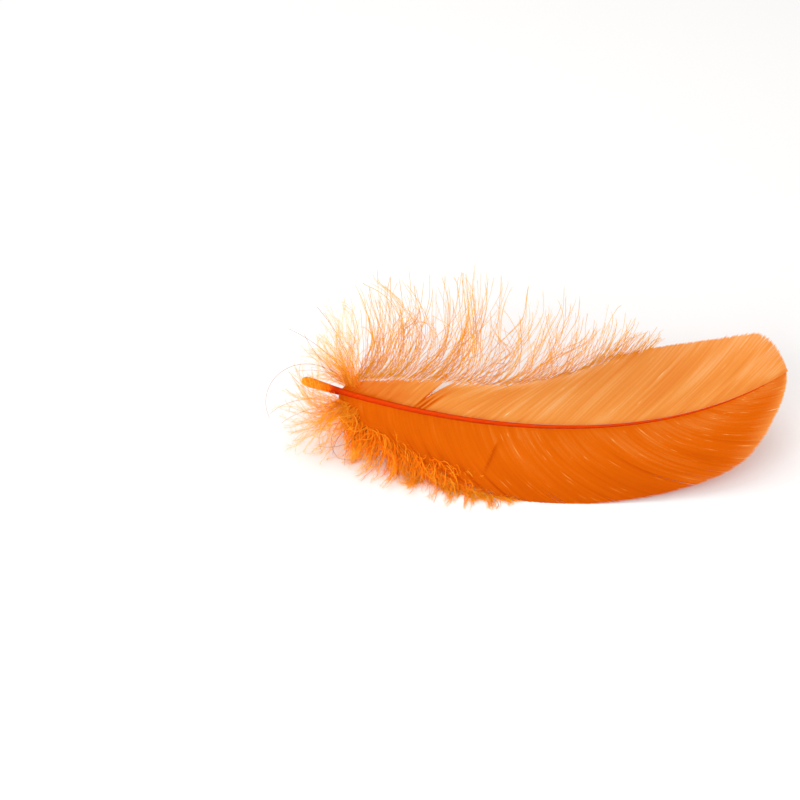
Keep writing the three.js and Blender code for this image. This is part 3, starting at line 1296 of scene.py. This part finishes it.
        place = (np.arange(family.wisps) + rng.uniform(*self.wisp_places, family.wisps)) / family.wisps
        place = np.sort(np.clip(place, 0, 1))
        end, length = self._ends(place)
        stray_share, further = self.stray_wisps
        wild = np.where(rng.random((family.wisps, 1)) < stray_share, further, 1.0)
        end = end + wild * rng.normal(0, family.fan[0], end.shape)
        length = length * rng.uniform(*self.wisp_lengths, family.wisps)
        inset = np.full(family.wisps, np.mean(family.inset))
        start, leave = self._starts(place, inset)
        bends = self._waves(rng, np.full(family.wisps, family.wave), 0)
        lead = self._grow(start, leave + np.array([0, family.rise]), end, length, bends)

        near = own + rng.normal(0, self.borders / family.wisps, len(own))
        wisp = np.abs(place - near[:, None]).argmin(1)
        end, own_length = self._ends(own)
        wild = rng.random(len(own)) < family.wild * loose
        spread = self.least_spread + (1 - self.least_spread) * loose
        astray = np.where(wild, self.stray_strands, 1) * spread
        end = end + rng.normal(0, family.fan[1], end.shape) * astray[:, None]
        own_length = own_length * rng.uniform(*self.strand_lengths, len(own))
        start, leave = self._starts(own, rng.uniform(*family.inset, len(own)))
        leave = leave + rng.normal(0, family.spray, leave.shape) + np.array([0, family.rise])
        bends = self._waves(rng, family.wave * loose, family.curl)
        strands = self._grow(start, leave, end, own_length, bends)

        t = np.linspace(0, 1, self.steps + 1)[None]
        guide = self._read(lead[wisp], np.clip(t * (own_length / length[wisp])[:, None], 0, 1) * self.steps)
        ease = np.clip((t - self.apart_to) / self.drawn_over, 0, 1)
        held = family.gather * np.where(wild, self.wild_held, rng.beta(*self.held, len(own))) * loose
        draw = held[:, None] * ease * ease * (3 - 2 * ease)
        return strands + draw[..., None] * (guide - strands)

    def _read(self, strands: Array, along: Array) -> Array:
        """Reads points of strands between their steps.

        Args:
            strands: Strand, point and x, y, z.
            along: Where to read each strand, in steps from its root.

        Returns:
            The points.
        """
        index = np.minimum(along.astype(int), self.steps - 1)
        part = (along - index)[..., None]
        rows = np.arange(len(strands))[:, None]
        return strands[rows, index] * (1 - part) + strands[rows, index + 1] * part

    def _barbules(self, strands: Array, own: Array) -> Array:
        """Grows the side hairs of the strands.

        Args:
            strands: The strands' points.
            own: Where each strand is in its family, from 0 to 1.

        Returns:
            Hair, point and x, y, z.
        """
        rng = np.random.default_rng(self.seed + 50)
        length = np.linalg.norm(np.diff(strands, axis=1), axis=-1).sum(1)
        length = length * self._loose(own, self.straight_over[1])
        count = int(self.family.barbules * length.sum())
        bearer = strands[rng.choice(len(strands), count, p=length / length.sum())]
        first, over = self.hair_span
        along = (first + over * rng.random((len(bearer), 1))) * self.steps
        start = self._read(bearer, along)[:, 0]
        forward = unit(self._read(bearer, along + 0.5)[:, 0] - start)
        aside = unit(np.cross(forward, rng.normal(size=forward.shape)))
        length = self.family.barbule[0] * rng.uniform(*self.hair_lengths, len(start))
        stand = np.radians(self.family.stand * rng.uniform(*self.hair_stands, len(start)))[:, None, None]
        steps = np.linspace(0, 1, 3)[None, :, None]
        on, off = (steps**power for power in self.hair_bend)
        curve = np.cos(stand) * on * forward[:, None] + np.sin(stand) * off * aside[:, None]
        return keep_above(start[:, None] + length[:, None, None] * curve, self.hair_floor)

    def build(self, finish: bpy.types.Material) -> None:
        """Builds the family's strands, and their side hairs.

        Args:
            finish: The down's material.
        """
        rng = np.random.default_rng(self.seed + 90)
        count = self.family.strands
        own = ((np.arange(count) + rng.uniform(0, 1, count)) / count) ** self.crowding
        strands = self._strands(own)
        t = np.linspace(0, 1, strands.shape[1])[None]
        size = rng.uniform(*self.sizes, (count, 1))
        thick, thin = self.family.radius
        radius = size * (thick + (thin - thick) * t**self.thinning)
        differs = rng.normal(0, self.tone_differs[0], (count, 1))
        root_tone, tip_tone = self.family.tone
        shape = {"row_height": self.row_height, "corners": 3, "crisp": True}
        at, _ = self.vane.course(self._share(own), np.full(count, self.family.out), self.gap)
        up = self.vane.shaft.frame(at)[3][:, None] + rng.normal(0, self.tilt, (count, 1, 3))
        main = Fibres(
            points=strands, half_width=radius, half_depth=self.family.flatness * radius,
            tone=root_tone + (tip_tone - root_tone) * t + differs,
            row=differs[:, 0].argsort().argsort() / count,
            across=unit(np.cross(up, np.gradient(strands, axis=1))), **shape,
        )
        name, shift = self.family.name, self.vane.shaft.shift
        add_piece(name, main.mesh(name, shift), finish)
        hairs = self._barbules(strands, own)
        t = np.linspace(0, 1, hairs.shape[1])[None]
        fine = np.broadcast_to(self.family.barbule[1] * (1 - self.hair_taper * t), hairs.shape[:2])
        differs = rng.normal(0, self.tone_differs[1], (len(hairs), 1))
        side = Fibres(
            points=hairs, half_width=fine, half_depth=fine, tone=tip_tone + differs + 0 * t,
            row=differs[:, 0].argsort().argsort() / len(hairs), **shape,
        )
        name = name + "_barbules"
        add_piece(name, side.mesh(name, shift), finish)


@dataclass(frozen=True)
class StrayHair:
    """One long loose hair that curls in a plane leaning back from the table.

    Attributes:
        share: The share of the vane's barbs where it starts.
        out: How far along the barb it starts.
        bearing: The way it leaves, in degrees in its plane.
        turn: How far it curls, in degrees.
        length: Its length.
    """

    share: float
    out: float
    bearing: float
    turn: float
    length: float


@dataclass
class Strays:
    """The few long hairs that have worked loose from a vane's base.

    Attributes:
        vane: The vane that they grow from.
        hairs: The hairs.
        lean_deg: How steeply their plane rises from the table.
        radius: A hair's radius at its root.
        taper: How much thinner a hair is at its end, as a share.
        steps: The number of steps along a hair.
        gap: How far from the shaft's side a barb starts.
        lift: How far over the web the hairs start.
        floor: The least height of a hair over the table.
        tone: The hairs' tone.
    """

    vane: Vane
    hairs: tuple[StrayHair, ...]
    lean_deg: float = 54
    radius: float = 0.07
    taper: float = 0.4
    steps: int = 40
    gap: float = 0.3
    lift: float = 0.1
    floor: float = 0.15
    tone: float = 0.2

    def build(self, name: str, finish: bpy.types.Material) -> None:
        """Builds the hairs as one piece.

        Args:
            name: The piece's name.
            finish: The down's material.
        """
        rows = np.array([(h.share, h.out, h.bearing, h.turn, h.length) for h in self.hairs], float)
        share, out, bearing, turn, length = rows.T
        start = self.vane.point(*self.vane.course(share, out, self.gap), self.lift)
        t = ((np.arange(self.steps) + 0.5) / self.steps)[None]
        angle = np.radians(bearing[:, None] + turn[:, None] * t**1.3)
        lean = math.radians(self.lean_deg)
        rise = np.array([0, math.cos(lean), math.sin(lean)])
        move = np.cos(angle)[..., None] * np.array([1.0, 0, 0]) + np.sin(angle)[..., None] * rise
        points = start[:, None] + np.cumsum(move * (length / self.steps)[:, None, None], 1)
        points = keep_above(np.concatenate([start[:, None], points], 1), self.floor)
        thinning = 1 - self.taper * np.linspace(0, 1, self.steps + 1)
        radius = np.broadcast_to(self.radius * thinning, points.shape[:2])
        count = len(rows)
        fibres = Fibres(
            points=points, half_width=radius, half_depth=radius, tone=np.full(points.shape[:2], self.tone),
            row=(np.arange(count) + 0.5) / count, row_height=0.5 / count, corners=4,
        )
        add_piece(name, fibres.mesh(name, self.vane.shaft.shift), finish)


@dataclass
class Studio:
    """The table, the light and the camera.

    Attributes:
        aim: The point in the middle of the picture, in the feather's frame.
        distance: How far the camera stands from it.
        elevation_deg: How steeply the camera looks down.
        lens: The camera's focal length.
        film_width: The width of the camera's frame.
        nearest: The least distance that the camera sees.
        table_half: Half the side of the square table.
        surround: The brightness of the white surround.
        light_size: The side of each square light.
        softbox_at: The place of the light overhead, behind the feather.
        softbox_power: Its power in watts.
        fill_at: The place of the low light in front, on the quill's side.
        fill_power: Its power in watts.
    """

    aim: tuple[float, float, float] = (-41.4, 30.5, -0.5)
    distance: float = 418
    elevation_deg: float = 36
    lens: float = 60
    film_width: float = 36
    nearest: float = 10
    table_half: float = 3000
    surround: float = 0.82
    light_size: float = 600
    softbox_at: tuple[float, float, float] = (-180, 350, 800)
    softbox_power: float = 1.4
    fill_at: tuple[float, float, float] = (-400, -620, 280)
    fill_power: float = 5.2

    def build(self, shift: Array, paper: StudioPaperFinish) -> None:
        """Sets up the table, the light and the camera.

        Args:
            shift: The feather's place in the row's frame, in millimetres.
            paper: The table's finish.
        """
        self._table(paper)
        self._light()
        self._camera(shift)

    def _table(self, paper: StudioPaperFinish) -> None:
        """Lays the white paper on the table.

        Args:
            paper: The paper's finish.
        """
        half = self.table_half * MM
        mesh = bpy.data.meshes.new("table")
        corners = [(-half, -half, 0), (half, -half, 0), (half, half, 0), (-half, half, 0)]
        mesh.from_pydata(corners, [], [(0, 1, 2, 3)])
        mesh.materials.append(paper.material())
        table = bpy.data.objects.new("table", mesh)
        bpy.context.scene.collection.objects.link(table)

    def _light(self) -> None:
        """Hangs a softbox behind the feather and a stronger, lower one in front, in a white surround."""
        world = bpy.data.worlds.new("surround")
        bpy.context.scene.world = world
        world.use_nodes = True
        background = world.node_tree.nodes["Background"]
        background.inputs["Color"].default_value = linear("FFFFFF")
        background.inputs["Strength"].default_value = self.surround
        for name, at, power in (
            ("softbox", self.softbox_at, self.softbox_power),
            ("fill", self.fill_at, self.fill_power),
        ):
            lamp = bpy.data.lights.new(name, "AREA")
            lamp.size = self.light_size * MM
            lamp.energy = power
            light = bpy.data.objects.new(name, lamp)
            light.location = Vector(at) * MM
            light.rotation_euler = (-Vector(at)).to_track_quat("-Z", "Y").to_euler()
            bpy.context.scene.collection.objects.link(light)
        bpy.context.scene.view_settings.view_transform = "Standard"

    def _camera(self, shift: Array) -> None:
        """Puts the camera in front of the feather, looking down on it.

        Args:
            shift: The feather's place in the row's frame, in millimetres.
        """
        rise = math.radians(self.elevation_deg)
        aim = Vector((np.array(self.aim) + shift) * MM)
        back = Vector((0, -math.cos(rise), math.sin(rise)))
        data = bpy.data.cameras.new("camera")
        data.lens = self.lens
        data.sensor_width = self.film_width
        data.clip_start = self.nearest * MM
        camera = bpy.data.objects.new("camera", data)
        camera.location = aim + back * self.distance * MM
        camera.rotation_euler = (-back).to_track_quat("-Z", "Y").to_euler()
        bpy.context.scene.collection.objects.link(camera)
        bpy.context.scene.camera = camera


def broad_vane(shaft: Shaft) -> Vane:
    """Draws the broad vane on the far side of the shaft.

    Args:
        shaft: The shaft that the vane grows from.

    Returns:
        The vane.
    """
    return Vane(
        side=Side.BROAD, shaft=shaft,
        barbs=(
            (14, 14.5, 4.7), (25, 29, 10.1), (37, 45, 13.5), (48, 64.5, 15.9), (63, 86, 23), (77, 109, 30),
            (92, 130, 26.9), (112, 151.5, 17.7), (122, 154.6, 12), (135, 153.2, 5), (149, 151.2, 0.1),
        ),
        droop=0.0085, bend_out=0.52, bend_on=0.38,
        splits=(
            Split(37.2, 0.25, 3.2, 5.0, 0.55), Split(38.7, 0.15, 0.6, 1.0, 0.6),
            Split(40.1, 0.2, 0.5, 1.0, 0.45), Split(48.5, 0.6, 0.6, 3.0),
            Split(120, 0.7, 0.7, 0.8), Split(126, 0.5, 0.8, 0.8),
            Split(130, 0.45, 0.7, 0.8), Split(134, 0.4, 0.6, 0.7),
        ),
        creases=(), root_on=0.72, loose_to=0.55, loose_from=0.66, loosening=0.4,
        # Painted light: the broad web is given a higher tone than the narrow one, as it faces up into the
        # light.
        tone=(0.44, 0.66, 0.7, 0.7, 0.7), edge_tone=0.03, rim_light=0.04, streak=0.055,
        small_splits=40, glints=30, seed=11, ragged=0.005,
    )


def narrow_vane(shaft: Shaft) -> Vane:
    """Draws the narrow vane on the near side of the shaft.

    Args:
        shaft: The shaft that the vane grows from.

    Returns:
        The vane.
    """
    return Vane(
        side=Side.NARROW, shaft=shaft,
        barbs=(
            (14, 16, 4.7), (30, 42, 14.7), (45, 61.5, 21), (63, 82.5, 22.5), (84, 109.5, 21.1),
            (103, 127.3, 18), (121, 141, 9.3), (136, 147.9, 3.5), (149, 150.6, 0.1),
        ),
        droop=0.011, bend_out=0.62, bend_on=0.25,
        splits=(
            Split(28, 0.75, 0.3, 0.8, 0.2), Split(33, 0.8, 0.3, 0.8, 0.25), Split(38, 0.78, 0.3, 0.8, 0.25),
            Split(42, 0.82, 0.3, 0.8, 0.3), Split(46, 0.85, 0.3, 0.8, 0.3), Split(51, 0.88, 0.3, 0.8, 0.25),
            Split(72, 0.8, 0.3, 0.8, 0.1), Split(88, 0.55, 0.5, 1.2, 0.12), Split(97, 0.6, 0.3, 0.8, 0.1),
        ),
        creases=(Crease((63.4, 5.0), (60.2, 16.5), 0.25, 1.2),),
        root_on=0.9, loose_to=0.33, loose_from=0.6, loosening=0.4,
        # Painted shade: the narrow web is given a lower tone and a darker edge where it faces away from the
        # light; its rim near the tip gets painted light.
        tone=(0.36, 0.37, 0.41, 0.45, 0.6), edge_tone=-0.1, rim_light=0.45, streak=0.04,
        small_splits=25, glints=90, seed=23, ragged=0.003,
    )


BROAD_DOWN = (
    LockFamily(
        name="broad_fringe", growth=Growth.BARBS, along=(0.005, 0.55), out=1, lift=0, leave=None,
        length=(39, 44, 45, 39, 32, 21, 10), heading=(128, 112, 100, 88, 74, 60, 46),
        climb=(52, 56, 58, 55, 47, 34, 16), straight_from=0.85,
        wisps=40, strands=430, radius=(0.1, 0.08), inset=(0, 0.15), tone=(0.3, 0.55),
        barbules=0.5, barbule=(2.6, 0.022), stand=18,
        fan=(15, 13), spray=5, wave=17, curl=18, gather=0.88, wild=0.12,
    ),
    LockFamily(
        name="broad_tuft", growth=Growth.PLUMES, along=(0, 0.04), out=0.6, lift=0, leave=(118, 38),
        length=(20, 22, 27, 35), heading=(206, 174, 140, 98), climb=(24, 36, 46, 50),
        wisps=14, strands=140, radius=(0.07, 0.04), inset=(0.05, 0.5), tone=(0.0, 0.6),
        barbules=3.0, barbule=(1.8, 0.022), stand=30,
        fan=(18, 16), spray=22, wave=20, curl=25, gather=0.85, wild=0.15,
    ),
    LockFamily(
        name="broad_underdown", growth=Growth.BARBS, along=(0.04, 0.5), out=0.62, lift=-0.1, leave=(80, -25),
        length=(38, 39, 40, 41), heading=(118, 104, 94, 76), climb=(-60, -60, -60, -60),
        wisps=12, strands=110, radius=(0.08, 0.04), inset=(0.05, 0.3), tone=(0.5, 0.6),
        barbules=0.8, barbule=(2.4, 0.022), stand=25,
        fan=(8, 8), spray=3, wave=8, curl=20, gather=0.7, wild=0.1,
    ),
)
NARROW_DOWN = (
    LockFamily(
        name="narrow_fringe", growth=Growth.PLUMES, along=(0.0, 0.3), out=1, lift=-0.12, leave=None,
        length=(21, 20, 17, 12, 6), heading=(-150, -126, -104, -80, -46),
        climb=(-40, -38, -34, -26, -18), rise=-24,
        wisps=24, strands=620, radius=(0.14, 0.05), flatness=0.45, inset=(0, 0.1), tone=(-0.08, 0.36),
        barbules=2.0, barbule=(1.8, 0.025), stand=30,
        fan=(28, 16), spray=5, wave=20, curl=60, gather=0.9, wild=0.08,
    ),
    LockFamily(
        name="narrow_tuft", growth=Growth.PLUMES, along=(0, 0.05), out=0.7, lift=0, leave=(-140, -15),
        length=(27, 26, 24, 21), heading=(-208, -186, -160, -136), climb=(22, -4, -30, -46), rise=10,
        wisps=12, strands=150, radius=(0.1, 0.05), flatness=0.5, inset=(0.05, 0.5), tone=(0.1, 0.4),
        barbules=3, barbule=(1.8, 0.022), stand=30,
        fan=(20, 18), spray=20, wave=26, curl=70, gather=0.85, wild=0.15,
    ),
    LockFamily(
        name="narrow_underdown", growth=Growth.PLUMES, along=(0.01, 0.27), out=0.85, lift=-0.4, leave=None,
        length=(15, 15, 13, 10, 6), heading=(-146, -124, -104, -80, -46), climb=(-60, -60, -55, -50, -40),
        wisps=20, strands=420, radius=(0.25, 0.1), flatness=0.4, inset=(0, 0.3), tone=(-0.05, 0.1),
        barbules=1.0, barbule=(2.2, 0.026), stand=35,
        fan=(20, 20), spray=8, wave=22, curl=40, gather=0.25, wild=0.1,
    ),
)
BROAD_STRAYS = (
    StrayHair(0.0, 0.6, 135, 165, 38), StrayHair(0.0, 0.7, 145, -30, 20),
    StrayHair(0.01, 0.8, 128, 30, 26), StrayHair(0.0, 0.5, 160, -60, 13),
    StrayHair(0.02, 0.9, 110, 22, 26), StrayHair(0.0, 0.8, 150, 45, 17),
)
NARROW_STRAYS = (
    StrayHair(0.03, 0.8, 175, 125, 18), StrayHair(0.04, 0.9, 200, 70, 14),
    StrayHair(0.05, 0.9, 215, 65, 15), StrayHair(0.0, 0.8, 162, 60, 22),
    StrayHair(0.06, 1.0, 240, 40, 12), StrayHair(0.12, 1.0, 250, 25, 10),
    StrayHair(0.09, 1.0, 290, -40, 10), StrayHair(0.01, 0.7, 178, 40, 20),
    StrayHair(0.16, 1.0, 300, -50, 11), StrayHair(0.02, 1.0, 205, 190, 24),
    StrayHair(0.05, 1.0, 225, -60, 17), StrayHair(0.2, 1.0, 285, 70, 12),
    StrayHair(0.25, 1.0, 320, -80, 11), StrayHair(0.0, 0.6, 168, -45, 18),
)

# Hooked barbs lie flat and close, so the webs are an even satin orange with a faint grain.
WEB_FINISH = DyedFibreFinish(
    name="dyed_web_keratin", deep="C84400", full="E56C06", light="F3A34C", pale="FFDCA4",
    roughness=0.6, gloss=0.01, sheen=0.04, through=0.35, grain_mm=0.3, grain=0.12,
)
# Loose barbs stand apart and pass light on, so they are painted paler and yellower than the webs: painted
# light.
BARB_FINISH = DyedFibreFinish(
    name="dyed_loose_barb_keratin", deep="FA9E18", full="FABE38", light="F6CA50", pale="FCE2A4",
    roughness=0.65, gloss=0.0, sheen=0.0, through=0.4, grain_mm=1.5, grain=0.1,
)
# Down throws light about among its strands, so its colour is painted: orange at its roots, painted shade
# where strands crowd, and golden at its ends.
DOWN_FINISH = DyedFibreFinish(
    name="dyed_down_keratin", deep="FF9A10", full="FFD03E", light="FFDE60", pale="FFE8A8",
    roughness=0.65, gloss=0.0, sheen=0.0, through=0.5, grain_mm=1.5, grain=0.1,
)
# A bare hair passes little light on, and its brown is painted shade, so that against white it is seen as a
# thin brown line.
HAIR_FINISH = DyedFibreFinish(
    name="dyed_bare_hair_keratin", deep="8A4410", full="A8601C", light="C07028", pale="E8A050",
    roughness=0.5, gloss=0.0, sheen=0.0, through=0.2, grain_mm=1.5, grain=0.1,
)


def main() -> None:
    """Builds the shaft, the vanes, the down and the studio, and reports each piece."""
    logging.basicConfig(level=logging.INFO, format="%(name)s: %(message)s")
    shaft = Shaft()
    shaft.build(DyedQuillFinish())
    broad, narrow = broad_vane(shaft), narrow_vane(shaft)
    web = WEB_FINISH.material()
    broad.build("broad_web", "broad_vane", web)
    narrow.build("narrow_web", "narrow_vane", web)
    loose = {Growth.BARBS: BARB_FINISH.material(), Growth.PLUMES: DOWN_FINISH.material()}
    for vane, families in ((broad, BROAD_DOWN), (narrow, NARROW_DOWN)):
        for index, family in enumerate(families):
            Down(vane, family, seed=100 + 10 * index + vane.side.value).build(loose[family.growth])
    hair = HAIR_FINISH.material()
    Strays(broad, BROAD_STRAYS).build("broad_strays", hair)
    Strays(narrow, NARROW_STRAYS).build("narrow_strays", hair)
    Studio().build(shaft.shift, StudioPaperFinish())
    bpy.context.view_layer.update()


if __name__ == "__main__":
    main()
